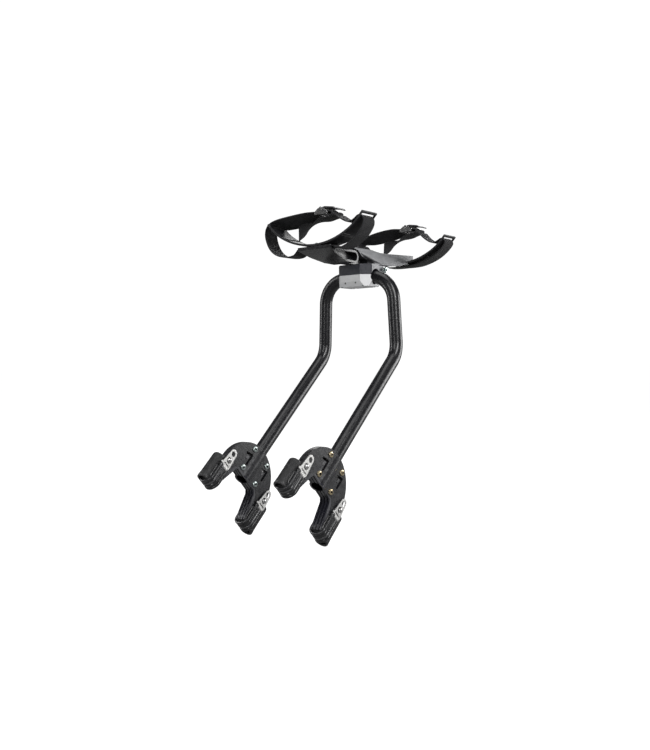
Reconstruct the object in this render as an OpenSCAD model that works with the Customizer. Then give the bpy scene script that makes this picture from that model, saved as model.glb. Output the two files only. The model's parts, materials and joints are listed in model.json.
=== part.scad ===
// Ski rack that drops over a round or square rail: a bent tube frame on two
// horseshoe yokes, a tilting clamp head, and two arms with curved strap
// saddles. Millimetres, +Z up, -Y front, +X right.
// Origin: axis of the rail in the yoke notches, midway between the yokes.

/* [Frame tube] */
// Outside diameter of the frame tube
tube_od = 25.4; // [24:0.1:26]
// Wall thickness of the frame tube
tube_wall = 2; // [1.5:0.1:3]
// Distance between the axes of the two legs
leg_gap = 172.8; // [165:0.1:190]
// Lean of the legs from the vertical, in degrees
lean = 49; // [35:1:55]
// Length of a leg from its bend corner to the rail axis
leg_len = 370; // [330:1:420]
// Height of the upright part between the two bend corners
stem_h = 150.6; // [140:0.1:200]
// Inward lean of the uprights, in degrees
toe = 2.6; // [1:0.1:3.5]
// Centre-line radius of the tube bends
bend_r = 50; // [48:1:52]

/* [Yokes] */
// Radius of the yoke's outer arc
yoke_r = 69; // [68:1:70]
// Height of the notch's flat land above the rail axis, along the leg
land = 31.5; // [30:0.5:32]
// Thickness of the liner on the sides of the notch
liner_side = 6.5; // [5:0.5:7]
// Spacing of the yoke bolts across the leg
bolt_b = 45.6; // [44:0.1:47]
// Spacing of the yoke bolts along the leg
bolt_z = 43.7; // [42:0.1:45]

/* [Latches] */
// Distance of each latch from the leg axis
latch_b = 61; // [60:0.5:62]
// Width of a latch plate at its hinge end
latch_w = 21; // [19:0.5:22]
// Radius of the finger hole
finger_r = 4.8; // [3.5:0.1:5]

/* [Head] */
// Half length of the head block along the top tube
head_x = 42; // [42:0.5:44]
// Half depth of the head block
head_y = 29; // [28:0.5:29]
// Running clearance between the bush and the tube
run_gap = 0.05; // [0.02:0.01:0.09]

/* [Saddles] */
// Width of a saddle plate, front to back
saddle_w = 46; // [42:1:48]
// Thickness of a saddle plate
saddle_t = 4; // [3:0.5:4]
// Radius of the saddle's middle part
saddle_r = 155; // [150:1:160]
// Front edge of the front saddle, from the top tube axis
front_y = -142; // [-144:1:-140]
// Front edge of the rear saddle, from the top tube axis
rear_y = 150; // [148:1:152]
// Height of the front saddle's lowest point above the top tube axis
front_z = 52; // [52:0.5:53]
// Height of the rear saddle's lowest point above the top tube axis
rear_z = 40; // [40:0.5:40]

/* [Straps] */
// Width of the webbing
web_w = 36; // [30:1:36]
// Thickness of the webbing
web_t = 2.2; // [1.6:0.1:2.4]

/* [Hidden] */
$fn = 64;

tube_r = tube_od/2;
half_t = tube_r - 1.4;              // outer face of the bolt half, from the parting plane
back_t = half_t - 2;                // outer face of the nut half
yt = leg_len*sin(lean);             // top tube axis, Y
zc = leg_len*cos(lean);             // leg bend corner, Z
zt = zc + stem_h;                   // top tube axis, Z
tube_end = 36;                      // lower end of the tube, along the leg
bolt_z0 = 41.3;
bush_r = tube_r + 1.9;              // outside of the tilt bush
hinge_x = 16;                       // latch hinge axis, from the yoke's middle
// the front arm (m = -1) is slimmer and longer than the rear arm (m = 1)
function hinge_z(m) = m > 0 ? 17 : 6;
function arm_w(m) = m > 0 ? 74 : 68;
function arm_z(m) = m > 0 ? -22 : -29;
function shoe_w(m) = m > 0 ? 80 : 76;
function shoe_z(m) = m > 0 ? -26 : -33.5;
pin_r = 1.5;

// ---------- frames and helpers ----------
// 2D (u,v) becomes (y,z), extruded along X
module along_x(x0, x1) translate([x0, 0, 0]) rotate([90, 0, 90]) linear_extrude(x1 - x0) children();
// 2D (u,v) becomes (x,z), extruded along Y
module along_y(y0, y1) translate([0, y1, 0]) rotate([90, 0, 0]) linear_extrude(y1 - y0) children();
// yoke frame: x across, y = rearward side of the leg, z = up the leg
module yoke_frame(side) translate([side*leg_gap/2, 0, 0]) rotate([-lean, 0, 0]) children();
module head_frame() translate([0, yt, zt]) children();
module flip(m) mirror([0, m < 0 ? 1 : 0, 0]) children();
module rod_x(x0, x1, r) translate([x0, 0, 0]) rotate([0, 90, 0]) cylinder(h = x1 - x0, r = r);
module rod_y(y0, y1, r) translate([0, y0, 0]) rotate([-90, 0, 0]) cylinder(h = y1 - y0, r = r);
module bar2d(p, q, w) translate(p) rotate(atan2(q[1] - p[1], q[0] - p[0])) polygon([[-0.25*w, -w/2], [norm(q - p) + 0.25*w, -w/2],
  [norm(q - p) + w/2, -0.2*w], [norm(q - p) + w/2, 0.2*w], [norm(q - p) + 0.25*w, w/2], [-0.25*w, w/2], [-w/2, 0.2*w], [-w/2, -0.2*w]]);
function unit(v) = v/norm(v);

// ---------- frame tube ----------
function r2(v) = round(v*100)/100;
top_x = leg_gap/2 - stem_h*tan(toe);              // top bend corner
turn1 = 90 - toe;                                 // top bend
turn2 = acos(cos(lean)*cos(toe));                 // lower bend
roll2 = atan2(-sin(lean), cos(lean)*sin(toe));    // plane of the lower bend
tan1 = bend_r*tan(turn1/2);
tan2 = bend_r*tan(turn2/2);
top_l = r2(top_x - tan1);
up_l = r2(stem_h/cos(toe) - tan1 - tan2);
leg_l = r2(leg_len - tan2 - tube_end);
// each step starts at the origin, heading +Z; a bend turns towards +X, and its
// ends reach a little way into the straights, slightly thinner than they are
module bend(a, r) multmatrix([[-1, 0, 0, bend_r], [0, 0, 1, 0], [0, 1, 0, 0], [0, 0, 0, 1]])
  rotate([0, 0, -0.4]) rotate_extrude(angle = a + 0.8, $fn = 96) translate([bend_r, 0]) circle(r = r - 0.3, $fn = 96);
module after_bend(a) translate([bend_r, 0, 0]) rotate([0, a, 0]) translate([-bend_r, 0, 0]) children();
module half_tube(r, extra) translate([top_l, yt, zt]) rotate([0, 90, 0]) {
  bend(turn1, r);
  after_bend(turn1) {
    cylinder(h = up_l, r = r, $fn = 96);
    translate([0, 0, up_l]) rotate(roll2) {
      bend(turn2, r);
      after_bend(turn2) cylinder(h = leg_l + extra, r = r, $fn = 96);
    }
  }
}
module tube_run(r, extra) {
  translate([0, yt, zt]) rod_x(-top_l, top_l, r, $fn = 96);
  half_tube(r, extra);
  mirror([1, 0, 0]) half_tube(r, extra);
}
module frame_tube() color([0.13, 0.13, 0.14]) difference() {
  tube_run(tube_r, 0);
  tube_run(tube_r - tube_wall, 3);
}

// ---------- yokes ----------
// open notch, grown by dt on the land and ds on the sides
module notch2d(dt, ds) polygon([
  [-29 - 0.5*ds, land + dt], [29 + 0.5*ds, land + dt], [34 + ds, land - 5], [45 + ds, -12], [52 + ds, -38],
  [66 + ds, -90], [-66 - ds, -90], [-52 - ds, -38], [-45 - ds, -12], [-34 - ds, land - 5]]);
module below(z) translate([-120, z - 120]) square([240, 120]);
module yoke2d() difference() {
  union() {
    translate([0, 30]) circle(r = yoke_r, $fn = 180);
    polygon([[40, 10], [50, -22], [66, -22], [74, -13.6], [74, 22], [65, 42]]);
    polygon([[-40, 10], [-50, -29], [-62, -29], [-68, -20.6], [-68, 6], [-59, 30]]);
  }
  notch2d(3, liner_side);
}
// the nut half stops short, just below the notch corners
module back2d() intersection() {
  yoke2d();
  union() {
    translate([0, 34]) circle(r = 56, $fn = 120);
    translate([-56, -2]) square([112, 36]);
  }
}
module yoke_slots2d() {
  bar2d([-33, 67.5], [-20, 72], 5);
  bar2d([-20, 72], [-20, 52], 5);
  bar2d([18.5, 73], [31.5, 77.4], 5);
  bar2d([31.5, 77.4], [31.5, 58.5], 5);
}
module at_bolts() for (b = [-1, 1], z = [0, 1]) translate([0, b*bolt_b/2, bolt_z0 + z*bolt_z]) children();
// per latch: origin 17 below the stud
module at_latches() for (m = [-1, 1]) translate([0, m*latch_b, hinge_z(m) - 17]) children();
// one half, on the +X side of the parting plane, with a half-round ridge over the tube
module yoke_half(t) difference() {
  union() {
    along_x(0.05, t) children();
    intersection() {
      translate([0, 0, land + 3]) cylinder(r = tube_r + 1.9, h = t > 10 ? 60 : 50, $fn = 96);
      translate([0.05, -20, 0]) cube([40, 40, 140]);
    }
  }
  translate([0, 0, 20]) cylinder(r = tube_r + 0.02, h = 120, $fn = 96);
  along_x(-1, half_t + 6) yoke_slots2d();
  at_bolts() rod_x(-1, half_t + 6, 3.2);
}
module yoke_bolt_side(side) color([0.2, 0.2, 0.21]) yoke_frame(side) difference() {
  yoke_half(half_t) yoke2d();
  at_latches() {
    translate([0, 0, 34]) rod_x(4.4, half_t + 1, 2.52);
    translate([0, 0, 3]) rod_x(-1, 6, 2.02);
  }
}
module yoke_nut_side(side) color([0.18, 0.18, 0.19]) yoke_frame(side) mirror([1, 0, 0]) yoke_half(back_t) back2d();
module yoke_liner(side) color([0.05, 0.05, 0.06]) yoke_frame(side) difference() {
  union() {
    along_x(-back_t, half_t) difference() {
      notch2d(2.95, liner_side - 0.05);
      notch2d(0, 0);
      below(-20.5);
    }
    translate([0, 0, land]) cylinder(r = tube_r + 1.7, h = 2.94, $fn = 96);
  }
  for (x = [-5.5, 1, 7.5]) along_x(x - 1.2, x + 1.2) notch2d(1.4, 1.6);
  translate([0, 0, 20]) cylinder(r = 10.7, h = 30, $fn = 96);
  // hollow D recess in each tip
  for (m = [-1, 1]) flip(m) along_x(-6.8, 8.8) polygon([[49, -21.5], [52, -21.5], [50.4, -10], [47.2, -10]]);
}
module yoke_bolts(side, c) color(c) yoke_frame(side) at_bolts() {
  difference() {
    union() {
      rod_x(-back_t - 6, half_t + 0.5, 3);
      translate([half_t, 0, 0]) rotate([0, 90, 0]) rotate_extrude()
        polygon([[0, 0], [5.35, 0], [5.35, 1], [4.7, 2.3], [3.4, 2.8], [0, 2.8]]);
    }
    translate([half_t + 0.8, 0, 0]) rotate([0, 90, 0]) cylinder(r = 2.31, h = 3, $fn = 6);
  }
}
module yoke_nuts(side, c) color(c) yoke_frame(side) at_bolts() translate([-back_t - 5, 0, 0]) rotate([0, 90, 0])
  difference() {
    cylinder(r = 5.77, h = 5, $fn = 6);
    translate([0, 0, -1]) cylinder(r = 3.03, h = 7);
  }

// ---------- shoes, straps, latches (m = 1 rear arm, m = -1 front arm) ----------
module shoe(side, m) color([0.07, 0.07, 0.08]) yoke_frame(side) flip(m) difference() {
  w = shoe_w(m);
  e = shoe_z(m);
  a = arm_w(m);
  t = hinge_z(m) - 5;
  union() {
    along_x(-11.5, 14.4) polygon([[45.5, t + 10], [48.8, t + 10], [48.8, t], [73.2, t], [73.2, t + 12], [w, t + 12],
      [w, e + 15], [w - 7, e + 4], [w - 14, e], [m > 0 ? 56 : 58, e], [m > 0 ? 49.5 : 51.5, m > 0 ? -21.5 : -27.5], [46, -15]]);
    for (x = [-13.6, 14.3]) {
      along_x(x, x + 2.2) polygon([[46.4, t + 8], [48.8, t + 8], [48.8, e + 9], [46.4, -14]]);
      along_x(x, x + 2.2) polygon([[73.2, t + 7.5], [w - 0.8, t + 7.5], [w - 0.8, e + 13], [73.2, e + 7]]);
    }
    translate([0.5, w - 4, e + 1.5]) cylinder(r = 12, h = t - e + 20.5);
    along_x(-11, 12) polygon([[w - 5, t + 21], [w + 4, t + 20], [w + 4, e + 2.5], [w - 5, e + 2.5]]);
  }
  // pockets for the yoke arm, the nut half and the liner tip
  along_x(-0.1, half_t + 0.1) polygon([[20, 60], [20, -20.8], [53.3, -20.8], [m > 0 ? 53.7 : 55.6, arm_z(m) - 0.3],
    [m > 0 ? 66.2 : 62.2, arm_z(m) - 0.3], [a + 0.3, arm_z(m) + 8.3], [a + 0.3, -4],
    [max(a + 0.3, yoke_r + 0.5), 6], [max(a + 0.3, yoke_r + 0.5), 60]]);
  along_x(-back_t - 0.1, 0) polygon([[20, 60], [20, -20.8], [54.2, -20.8], [52, -12], [51.4, -2.3], [56.3, -2.3], [56.3, 60]]);
  // hollow in the lower end of the outer half round
  translate([0.5, w - 3, e - 1]) cylinder(r = 8, h = 15);
  translate([0, latch_b, hinge_z(m) - 14]) rod_x(-20, 1, 2.05);
}
module shoe_strap(side, m) color([0.09, 0.09, 0.1]) yoke_frame(side) flip(m) difference() {
  e = shoe_z(m) - 0.2;
  h = hinge_z(m);
  union() {
    along_y(49.3, 72.7) polygon([[14.6, h - 5], [17.8, h - 5], [17.8, e + 0.7], [13.4, e - 3.2], [-9.5, e - 3.2], [-13.9, e + 0.7],
      [-13.9, h - 6], [-11.7, h - 6], [-11.7, e], [14.6, e]]);
    for (y = [49.3, 68]) {
      translate([hinge_x, 0, h]) rod_y(y, y + 4.7, 2.8);
      along_y(y, y + 4.7) polygon([[14.6, h - 5.5], [17.8, h - 5.5], [17.8, h], [14.6, h]]);
    }
  }
  translate([hinge_x, 0, h]) rod_y(40, 80, pin_r + 0.02);
  translate([0, latch_b, h - 14]) rod_x(-30, -10, 2.05);
}
module latch_pins(side) color([0.75, 0.75, 0.76]) yoke_frame(side)
  for (m = [-1, 1]) flip(m) translate([hinge_x, 0, hinge_z(m)]) rod_y(49.3, 72.7, pin_r);
module latch_studs(side) color([0.85, 0.85, 0.86]) yoke_frame(side) at_latches() translate([0, 0, 34]) rotate([0, 90, 0])
  rotate_extrude() polygon([[0, 4.5], [2.5, 4.5], [2.5, half_t], [4.2, half_t], [4.2, 12.8], [3.4, 12.8], [3.4, 16.7],
    [4.6, 16.7], [4.3, 17.7], [3.4, 18.6], [2, 19.1], [0, 19.3]]);
module strap_rivets(side) color([0.7, 0.7, 0.7]) yoke_frame(side) at_latches() translate([0, 0, 3]) rotate([0, -90, 0])
  rotate_extrude() polygon([[0, -5.9], [2, -5.9], [2, 13.9], [4, 13.9], [3.6, 14.8], [2, 15.5], [0, 15.7]]);
module latch(side, m) color([0.8, 0.8, 0.8]) yoke_frame(side) translate([0, m*latch_b, hinge_z(m)]) difference() {
  union() {
    along_x(14.6, 16.2) union() {
      polygon([[-latch_w/2, 3.2], [latch_w/2, 3.2], [latch_w/2, 10], [7.6, 33], [-7.6, 33], [-latch_w/2, 10]]);
      translate([0, 32.6]) circle(r = 7.62);
      translate([-6.7, 0]) square([13.4, 4]);
      polygon([[-latch_w/2 + 1, 3.2], [-latch_w/2 - 3, 3.2], [-latch_w/2 - 3, 6.5], [-latch_w/2 + 1, 8]]);
    }
    translate([hinge_x, 0, 0]) rod_y(-6.7, 6.7, 2.6);
  }
  translate([0, 0, 17]) rod_x(10, 30, 5.8);
  translate([0, 0, 31.6]) rod_x(10, 30, finger_r);
  along_x(10, 30) polygon([[-7.5, 6], [7.5, 6], [7.5, 8], [-7.5, 8]]);
  translate([hinge_x, 0, 0]) rod_y(-20, 20, pin_r + 0.05);
}

// ---------- head ----------
head_l = head_x - 4;                // the left end is a little shorter
clamp_plan = [[-head_l, -13], [-24, -head_y], [24, -head_y], [head_x, -13], [head_x, 13], [24, head_y], [-24, head_y], [-head_l, 13]];
module head_bore() {
  rod_x(-60, 60, bush_r + 0.05);
  for (x = [-60, 29.2]) rod_x(x, x + 30.8, 15.2);
}
module at_clamp_screws() for (x = [-23.5, 27], y = [-19.5, 19.5]) translate([x, y, 0]) children();
module at_set_screws() for (x = [-12, 12], m = [-1, 1]) rotate([0, 0, m < 0 ? 0 : 180]) translate([x, 0, -11.2]) children();
module head_lower_clamp() color([0.85, 0.86, 0.87]) head_frame() difference() {
  intersection() {
    translate([0, 0, -18.6]) linear_extrude(22.45) polygon(clamp_plan);
    along_y(-40, 40) polygon([[-50, 5], [50, 5], [50, -5], [head_x, -6], [37, -18.6], [-33, -18.6], [-head_l, -6], [-50, -5]]);
    along_x(-50, 50) polygon([[-40, 5], [40, 5], [40, -9], [head_y, -9], [23.5, -18.6], [-23.5, -18.6], [-head_y, -9], [-40, -9]]);
  }
  head_bore();
  translate([-60, -bush_r - 0.05, 0]) cube([120, 2*bush_r + 0.1, 10]);
  at_clamp_screws() { translate([0, 0, -30]) cylinder(r = 3.2, h = 40); translate([0, 0, -30]) cylinder(r = 4.9, h = 17); }
  at_set_screws() rod_y(-40, -18, 1.72);
}
module head_upper_clamp() color([0.12, 0.13, 0.15]) head_frame() difference() {
  union() {
    translate([0, 0, 3.95]) linear_extrude(20.45) polygon(clamp_plan);
    translate([28, 10, 6]) cube([head_x - 28, 23.5, 16]);
    translate([-head_l, 10, 6]) cube([head_l - 26, 23.5, 16]);
  }
  head_bore();
  at_clamp_screws() translate([0, 0, -5]) cylinder(r = 3.02, h = 24);
  translate([0, 27.2, 14]) rod_x(-60, 60, 3.1);
  for (y = [-12, 8]) translate([0, y, 15.5]) cylinder(r = 2.52, h = 20);
  for (x = [-15.5, 15.5]) translate([x, 20.5, 10]) cylinder(r = 2.52, h = 20);
}
module tilt_bush() color([0.3, 0.3, 0.3]) head_frame() difference() {
  rod_x(-29, 29, bush_r);
  rod_x(-30, 30, tube_r + run_gap);
  translate([-31, -30, -0.2]) cube([62, 60, 0.4]);
}
module head_clamp_screws() color([0.5, 0.5, 0.5]) head_frame() at_clamp_screws() difference() {
  union() {
    translate([0, 0, -14]) cylinder(r = 3, h = 32);
    translate([0, 0, -17.6]) cylinder(r = 4.8, h = 4.55);
  }
  translate([0, 0, -18]) cylinder(r = 2.31, h = 2.6, $fn = 6);
}
module head_set_screws() color([0.2, 0.2, 0.2]) head_frame() at_set_screws() difference() {
  rod_y(-27.6, -18.2, 1.7);
  translate([0, -28, 0]) rotate([-90, 0, 0]) cylinder(r = 0.9, h = 1.6, $fn = 6);
}
module tilt_lock_bolt() color([0.7, 0.7, 0.7]) head_frame() translate([0, 27.2, 14]) {
  rod_x(-head_l - 2, head_x + 10, 3);
  translate([-head_l - 1.6 - 4, 0, 0]) rotate([0, 90, 0]) cylinder(r = 5.77, h = 4, $fn = 6);
}
module tilt_lock_washers() color([0.85, 0.85, 0.85]) head_frame() for (x = [-head_l - 1.6, head_x])
  translate([0, 27.2, 14]) difference() { rod_x(x, x + 1.6, 6.4); rod_x(x - 1, x + 3, 3.1); }
module tilt_lock_nut() color([0.8, 0.8, 0.8]) head_frame() translate([head_x + 1.65, 27.2, 14]) rotate([0, 90, 0]) difference() {
  cylinder(r = 5.77, h = 6, $fn = 6);
  translate([0, 0, -1]) cylinder(r = 3.03, h = 8);
}

// ---------- arms ----------
nose_y = -46; nose_z = 36.3; nose_r = 11.8;
module front_arm() color([0.1, 0.1, 0.11]) head_frame() difference() {
  union() {
    intersection() {
      along_x(-40, 40) union() {
        polygon([[nose_y, nose_z - nose_r], [-75, 25.4], [-110, 33], [-141, 43.5], [-141, 49.7], [-97, 49.7], [-80, 48.1], [nose_y, 48.1]]);
        translate([nose_y, nose_z]) circle(r = nose_r, $fn = 96);
      }
      translate([0, 0, 10]) linear_extrude(60) polygon([[-25, -30], [25, -30], [25, -70], [38, -141], [-38, -141], [-25, -70]]);
    }
    along_x(-9.9, 9.9) polygon([[-46, 24.5], [19, 24.5], [19, 44], [-46, 44]]);
  }
  // side pockets with a round end at the nose
  for (s = [-1, 1]) along_x(s > 0 ? 11 : -60, s > 0 ? 60 : -11) union() {
    polygon([[nose_y, nose_z - 8.2], [-76, 29.4], [-108, 36.8], [-122, 42], [-122, 44.5], [-96, 44.5], [nose_y, 44.5]]);
    translate([nose_y, nose_z]) circle(r = 8.2);
  }
  // groove for the webbing under the saddle
  along_x(-60, 60) polygon([[-138.5, 46], [-99.5, 46], [-99.5, 52], [-138.5, 52]]);
  for (y = [-12, 8]) translate([0, y, 20]) { cylinder(r = 2.6, h = 40); translate([0, 0, 18]) cylinder(r = 4.6, h = 20); }
  for (y = [-131, -107]) translate([0, y, y < -120 ? 42.5 : 37]) cylinder(r = 2.02, h = 30);
}
module rear_arm() color([0.45, 0.46, 0.48]) head_frame() difference() {
  along_x(-22, 22) difference() {
    union() {
      polygon([[-50, 54.3], [-24, 54.9], [17, 54.9], [31, 53], [45, 51.8], [70, 51.8], [101, 53.3], [172, 56.3], [172, 42.3],
        [145, 36], [119, 31.1], [92, 28.6], [67, 28.1], [40, 28.8], [16, 31.1], [-2, 34.5], [-18, 40], [-30, 50]]);
      polygon([[2, 24.45], [30, 24.45], [33, 34], [-2, 38]]);
    }
    translate([nose_y, nose_z]) circle(r = nose_r + 2.2, $fn = 96);
    polygon([[149.5, 20], [180, 20], [180, 42.05], [149.5, 42.05]]);
  }
  // seat shaped to the saddle's curve
  translate([0, 0, rear_z]) along_y(149.5, 180) saddle2d(saddle_t + 0.1);
  // room for the front arm's tongue, then the hollow underside
  along_x(-10.1, 10.1) polygon([[-70, 10], [-70, 44.3], [19.2, 44.3], [19.2, 10]]);
  along_x(-18, 18) polygon([[34, 20], [34, 48.5], [70, 48], [101, 49], [144, 51], [144, 20]]);
  for (x = [-15.5, 15.5]) translate([x, 20.5, 20]) { cylinder(r = 2.6, h = 60); translate([0, 0, 14]) cylinder(r = 4.6, h = 40); }
  for (x = [-11, 11]) translate([x, 161, 40]) cylinder(r = 2.02, h = 13);
}
module arm_bolts() color([0.6, 0.6, 0.6]) head_frame() {
  for (y = [-12, 8]) translate([0, y, 15.8]) { cylinder(r = 2.5, h = 22.4); translate([0, 0, 22.2]) cylinder(r = 4.5, h = 4.6); }
  for (x = [-15.5, 15.5]) translate([x, 20.5, 12]) { cylinder(r = 2.5, h = 22.2); translate([0, 0, 22]) cylinder(r = 4.5, h = 4.6); }
}

// ---------- saddles ----------
a1 = 31; a2 = 47; r2 = 100; tip = 14;
// point at angle a on the saddle's middle surface, moved out by d along the inward normal
function arc_pt(a, d) = a <= a1
  ? [saddle_r*sin(a) - d*sin(a), saddle_r*(1 - cos(a)) + d*cos(a)]
  : [saddle_r*sin(a1) + r2*(sin(a) - sin(a1)) - d*sin(a), saddle_r*(1 - cos(a1)) + r2*(cos(a1) - cos(a)) + d*cos(a)];
function tip_pt(d) = arc_pt(a2, d) + tip*[cos(a2), sin(a2)];
function half_curve(d) = concat([for (i = [0:16]) arc_pt(i*a1/16, d)], [for (i = [1:8]) arc_pt(a1 + i*(a2 - a1)/8, d)], [tip_pt(d)]);
function swap(p) = [for (i = [len(p) - 1:-1:1]) [-p[i][0], p[i][1]]];
module saddle2d(t) polygon(concat(swap(half_curve(t/2)), half_curve(t/2), [for (q = [0:len(half_curve(0)) - 1]) half_curve(-t/2)[len(half_curve(0)) - 1 - q]],
  [for (q = [1:len(half_curve(0)) - 1]) [-half_curve(-t/2)[q][0], half_curve(-t/2)[q][1]]]));
slot_a = asin(63/saddle_r);
module saddle_slots() for (m = [0, 1]) mirror([m, 0, 0]) {
  translate([arc_pt(a2, 0)[0] + 3.5, 0, arc_pt(a2, 0)[1] + 3.75]) rotate([0, -a2, 0]) cube([7.5, web_w + 4, 20], center = true);
  translate([63, 0, arc_pt(slot_a, 0)[1]]) rotate([0, -slot_a, 0]) cube([6, web_w + 4, 20], center = true);
}
module saddle_plate(y0, z0) translate([0, 0, z0]) difference() {
  along_y(y0, y0 + saddle_w) saddle2d(saddle_t);
  translate([0, y0 + saddle_w/2, 0]) saddle_slots();
}
module front_saddle() color([0.15, 0.15, 0.16]) head_frame() difference() {
  saddle_plate(front_y, front_z);
  for (y = [-131, -107]) translate([0, y, 40]) cylinder(r = 2.6, h = 30);
}
module rear_saddle() color([0.15, 0.15, 0.16]) head_frame() difference() {
  saddle_plate(rear_y, rear_z);
  for (x = [-11, 11]) translate([x, 161, 30]) cylinder(r = 2.6, h = 30);
}
module saddle_screws() color([0.6, 0.6, 0.6]) head_frame() {
  for (y = [-131, -107]) translate([0, y, y < -120 ? 42.8 : 40]) {
    cylinder(r = 2, h = y < -120 ? 11.4 : 14.2);
    translate([0, 0, y < -120 ? 11.35 : 14.15]) rotate_extrude() polygon([[0, 0], [4.6, 0], [4.3, 1.4], [2.8, 2.3], [0, 2.5]]);
  }
  for (x = [-11, 11]) translate([x, 161, 0]) {
    translate([0, 0, 37.9]) cylinder(r = 2, h = 13);
    translate([0, 0, 38.08]) mirror([0, 0, 1]) rotate_extrude() polygon([[0, 0], [4.4, 0], [4.1, 1.4], [2.8, 2.3], [0, 2.5]]);
  }
}

// ---------- webbing ----------
// offset of an open path by d, mitred
function nrm(p, i) = let (
    u = i < len(p) - 1 ? unit(p[i+1] - p[i]) : unit(p[i] - p[i-1]),
    v = i > 0 ? unit(p[i] - p[i-1]) : u,
    a = [-u[1], u[0]], b = [-v[1], v[0]], s = unit(a + b))
  s/(s*a);
function side_pts(p, d) = [for (i = [0:len(p) - 1]) p[i] + d*nrm(p, i)];
module ribbon2d(p, t) {
  l = side_pts(p, t/2);
  r = side_pts(p, -t/2);
  polygon(concat(l, [for (i = [0:len(r) - 1]) r[len(r) - 1 - i]]));
}
// run from the tail, through the buckle, over the left end, under the saddle and back in through the right slot
front_path = [[-52, 80], [-20, 91], [8, 98.6], [26, 101], [36, 103.5], [39.5, 107], [36, 110.2], [26, 110.8], [2, 110.8],
  [-25, 110.2], [-59, 109.4], [-95, 107.6], [-110, 106], [-117, 101], [-122, 91], [-122, 78], [-115, 60], [-105, 47],
  [-90, 39], [-68, 36], [-53, 37.5], [-46, 42.5], [-39.5, 48], [39.5, 48], [45, 44.8], [50, 42.8], [58, 43], [72, 48], [84, 55],
  [94, 62], [103, 72], [108, 81], [108.2, 89.5], [103, 95.3], [97, 96], [88, 90.5], [78, 86.5], [68, 89], [56, 96], [44.5, 103.5]];
rear_path = [[-52, 70], [-20, 84], [8, 96.6], [26, 101], [36, 103.5], [39.5, 107], [36, 110.2], [26, 110.8], [2, 110.8],
  [-25, 109.2], [-59, 106.4], [-95, 101.6], [-112, 99], [-119, 93], [-117, 84], [-106, 71], [-94, 57.5], [-80, 50],
  [-62, 42], [-40, 36], [-22, 34.2], [22, 34.2], [40, 36], [62, 42], [80, 50], [94, 59.5], [103.5, 68.5],
  [107.8, 76], [103, 83.3], [97, 84], [88, 79.5], [78, 78], [68, 82], [56, 91], [45, 102.5]];
module front_strap() color([0.12, 0.12, 0.13]) head_frame() difference() {
  along_y(front_y + saddle_w/2 - web_w/2, front_y + saddle_w/2 + web_w/2) ribbon2d(front_path, web_t);
  for (y = [-131, -107]) translate([0, y, 40]) cylinder(r = 3, h = 15);
}
module rear_strap() color([0.12, 0.12, 0.13]) head_frame() difference() {
  along_y(rear_y + saddle_w/2 - web_w/2, rear_y + saddle_w/2 + web_w/2) ribbon2d(rear_path, web_t);
  for (x = [-11, 11]) translate([x, 161, 25]) cylinder(r = 5.5, h = 16);
}

// ---------- cam buckles (local: strap runs along X at z = 110.8) ----------
pz = 116.3; px = 16;
module at_front_buckle() head_frame() translate([0, front_y + saddle_w/2, 0]) children();
module at_rear_buckle() head_frame() translate([0, rear_y + saddle_w/2, 0]) children();
module buckle_frame() difference() {
  union() {
    translate([2, -21, 106.6]) cube([29, 42, 1.6]);
    for (y = [-21, 19.4]) along_y(y, y + 1.6) union() {
      polygon([[2, 106.6], [31, 106.6], [31, 112], [22, 118], [10, 118], [2, 112]]);
      translate([px, pz]) circle(r = 4.2);
    }
  }
  translate([px, 0, pz]) rod_y(-30, 30, 1.77);
  translate([8, -13, 100]) cube([5, 26, 10]);
}
module buckle_pin() translate([px, 0, pz]) { rod_y(-22, 22, 1.75); rod_y(-22.6, -21.05, 3); rod_y(21.05, 22.6, 3); }
module buckle_spring() translate([px, 0, pz]) for (y = [-8, 4]) translate([0, y, 0]) rotate([-90, 0, 0])
  rotate_extrude() for (i = [0:3]) translate([2.5, 0.5 + i]) circle(r = 0.55, $fn = 24);
module buckle_lever() difference() {
  union() {
    translate([px, 0, pz]) rod_y(-19, 19, 3.6);
    // toothed cam nose, off centre so that it lifts as the lever opens
    along_y(-17, 17) polygon([[px - 3.2, pz - 1], [px - 1.6, pz - 4.1], [px - 0.6, pz - 3.4], [px + 0.6, pz - 4.2], [px + 1.6, pz - 3.4], [px + 3.2, pz]]);
    along_y(-17, 17) polygon([[px, pz + 1], [px + 6, pz + 2.2], [px + 26, pz - 0.6], [px + 29, pz - 3], [px + 30, pz - 1.2], [px + 26.5, pz + 1.6], [px + 7, pz + 4.6], [px, pz + 3.6]]);
  }
  translate([px, 0, pz]) rod_y(-30, 30, 1.82);
  for (y = [-8.3, 3.7]) translate([px, 0, pz]) rod_y(y, y + 5.1, 3.15);
  for (y = [-8.3, 3.7]) along_y(y, y + 5.1) polygon([[px - 6, pz - 6], [px + 1, pz - 6], [px + 1, pz + 1], [px - 6, pz + 1]]);
}

steel = [0.8, 0.8, 0.8];
zinc = [0.72, 0.78, 0.76];
brass = [0.74, 0.66, 0.45];

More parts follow.
